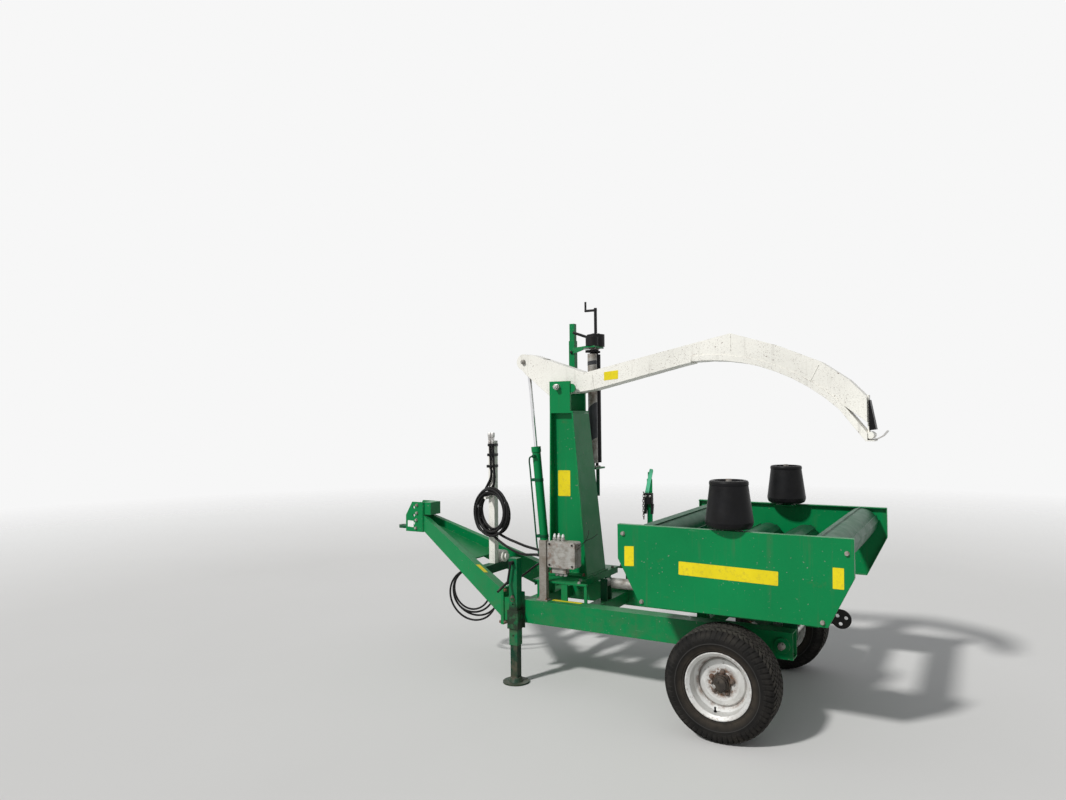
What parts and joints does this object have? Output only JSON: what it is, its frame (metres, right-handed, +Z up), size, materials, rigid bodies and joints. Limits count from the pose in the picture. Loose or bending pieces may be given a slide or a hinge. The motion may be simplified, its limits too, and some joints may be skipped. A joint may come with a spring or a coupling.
{
  "type": "trailed bale wrapper",
  "caption": "Trailed round-bale wrapper with a turning roller table between side plates, a mast with a hydraulic cutter arm, a film dispenser and a drawbar.",
  "frame": {"origin": "on the ground, under the middle of the machine's bounding box", "axes": "+X towards the rear, +Y towards the machine's right-hand side, +Z up"},
  "size_m": [3.491, 1.61, 2.533],
  "materials": {
    "green_paint": "satin green enamel, worn at the edges",
    "dark_green_paint": "satin dark green enamel, dusty",
    "white_paint": "off-white enamel with dirt and rust specks",
    "black_plastic": "satin black plastic",
    "black_metal": "greasy black metal",
    "grey_metal": "weathered grey paint with rust",
    "rusty_steel": "rusty bare steel",
    "bright_steel": "worn bare steel",
    "chrome": "hard chrome",
    "rim_silver": "silver rim paint with rust stains",
    "tyre_rubber": "dusty black rubber",
    "hose_rubber": "black hose rubber"
  },
  "bodies": {
    "frame": {"main_frame": "green_paint", "axle_beam": "dark_green_paint", "stub_axles": "rusty_steel", "drawbar": "green_paint", "hitch_head": "green_paint", "towing_tongue": "dark_green_paint", "jack_sleeve": "green_paint", "jack_crank": "black_metal", "platform": "green_paint", "mast": "green_paint", "arm_pin": "bright_steel", "lift_lug": "green_paint", "dispenser_post": "green_paint", "dispenser_head": "black_metal", "film_spindle": "dark_green_paint", "valve_box": "grey_metal", "valve_stand": "rusty_steel", "hose_post": "white_paint", "crossbar": "dark_green_paint", "canister": "white_paint", "clamp_stand": "green_paint", "film_clamp": "black_metal", "tip_shaft": "bright_steel", "tip_lug": "dark_green_paint", "hose_coil": "hose_rubber", "hose_run_a": "hose_rubber", "hose_run_b": "hose_rubber", "hose_rise_a": "hose_rubber", "hose_rise_b": "hose_rubber", "cable_coil": "hose_rubber", "cable_run": "hose_rubber"},
    "wheel_l": {"rim_l": "rim_silver", "tyre_l": "tyre_rubber"},
    "wheel_r": {"rim_r": "rim_silver", "tyre_r": "tyre_rubber"},
    "jack_foot": {"jack_leg": "dark_green_paint"},
    "tipper": {"tip_frame": "dark_green_paint", "slew_motor": "black_metal", "drive_guard": "black_metal"},
    "tip_cylinder": {"tip_barrel": "grey_metal"},
    "tip_cylinder_rod": {"tip_rod": "chrome"},
    "table": {"table_base": "dark_green_paint", "side_plate_l": "green_paint", "side_plate_r": "green_paint"},
    "table_roller_1": {"roller_1": "dark_green_paint"},
    "table_roller_2": {"roller_2": "dark_green_paint"},
    "table_roller_3": {"roller_3": "dark_green_paint"},
    "table_roller_4": {"roller_4": "dark_green_paint"},
    "cone_l": {"guide_cone_l": "black_plastic"},
    "cone_r": {"guide_cone_r": "black_plastic"},
    "cutter_arm": {"arm": "white_paint", "arm_pad": "black_plastic", "arm_knife": "bright_steel"},
    "lift_cylinder": {"lift_barrel": "green_paint"},
    "lift_cylinder_rod": {"lift_rod": "chrome"},
    "stretch_roller_a": {"film_roller_a": "grey_metal"},
    "stretch_roller_b": {"film_roller_b": "black_plastic"}
  },
  "joints": [
    {"name": "wheel_l_spin", "type": "hinge", "parent": "frame", "child": "wheel_l", "pos_m": [0.9905, -0.68, 0.295], "axis": [0, 1, 0], "continuous": true},
    {"name": "wheel_r_spin", "type": "hinge", "parent": "frame", "child": "wheel_r", "pos_m": [0.9905, 0.68, 0.295], "axis": [0, 1, 0], "continuous": true},
    {"name": "jack_raise", "type": "slide", "parent": "frame", "child": "jack_foot", "axis": [0, 0, 1], "range_m": [0, 0.2]},
    {"name": "arm_lift", "type": "hinge", "parent": "frame", "child": "cutter_arm", "pos_m": [-0.2775, 0, 1.896], "axis": [0, -1, 0], "range_deg": [0, 50]},
    {"name": "lift_cylinder_swing", "type": "hinge", "parent": "frame", "child": "lift_cylinder", "pos_m": [-0.4395, 0, 0.62], "axis": [0, -1, 0], "range_deg": [-2, 4]},
    {"name": "lift_rod_slide", "type": "slide", "parent": "lift_cylinder", "child": "lift_cylinder_rod", "axis": [-0.0934, 0, 0.9956], "range_m": [-0.2907, 0]},
    {"name": "table_tip", "type": "hinge", "parent": "frame", "child": "tipper", "pos_m": [1.2405, 0, 0.45], "axis": [0, 1, 0], "range_deg": [0, 30]},
    {"name": "tip_cylinder_swing", "type": "hinge", "parent": "frame", "child": "tip_cylinder", "pos_m": [0.0145, 0, 0.593], "axis": [0, -1, 0], "range_deg": [0, 14.13]},
    {"name": "tip_rod_slide", "type": "slide", "parent": "tip_cylinder", "child": "tip_cylinder_rod", "axis": [1, 0, 0], "range_m": [0, 0.1623]},
    {"name": "table_turn", "type": "hinge", "parent": "tipper", "child": "table", "pos_m": [1.0375, 0, 0.6], "axis": [0, 0, 1], "continuous": true},
    {"name": "roller_1_spin", "type": "hinge", "parent": "table", "child": "table_roller_1", "pos_m": [0.5645, 0, 0.995], "axis": [0, 1, 0], "continuous": true},
    {"name": "roller_2_spin", "type": "hinge", "parent": "table", "child": "table_roller_2", "pos_m": [0.9125, 0, 0.868], "axis": [0, 1, 0], "continuous": true},
    {"name": "roller_3_spin", "type": "hinge", "parent": "table", "child": "table_roller_3", "pos_m": [1.1555, 0, 0.868], "axis": [0, 1, 0], "continuous": true},
    {"name": "roller_4_spin", "type": "hinge", "parent": "table", "child": "table_roller_4", "pos_m": [1.5105, 0, 0.995], "axis": [0, 1, 0], "continuous": true},
    {"name": "cone_l_spin", "type": "hinge", "parent": "table", "child": "cone_l", "pos_m": [1.0375, -0.68, 1.102], "axis": [0, 0, 1], "continuous": true},
    {"name": "cone_r_spin", "type": "hinge", "parent": "table", "child": "cone_r", "pos_m": [1.0375, 0.68, 1.102], "axis": [0, 0, 1], "continuous": true},
    {"name": "stretch_roller_a_spin", "type": "hinge", "parent": "frame", "child": "stretch_roller_a", "pos_m": [-0.2185, 0.295, 1.364], "axis": [0, 0, 1], "continuous": true},
    {"name": "stretch_roller_b_spin", "type": "hinge", "parent": "frame", "child": "stretch_roller_b", "pos_m": [-0.2245, 0.37, 1.364], "axis": [0, 0, 1], "continuous": true}
  ],
  "couplings": [
    {"joint": "lift_cylinder_swing", "follows": "arm_lift", "ratio": 0.059901},
    {"joint": "lift_rod_slide", "follows": "arm_lift", "m_per_rad": -0.33081},
    {"joint": "tip_cylinder_swing", "follows": "table_tip", "ratio": 0.45417},
    {"joint": "tip_rod_slide", "follows": "table_tip", "m_per_rad": 0.30606},
    {"joint": "stretch_roller_b_spin", "follows": "stretch_roller_a_spin", "ratio": -1.55}
  ]
}
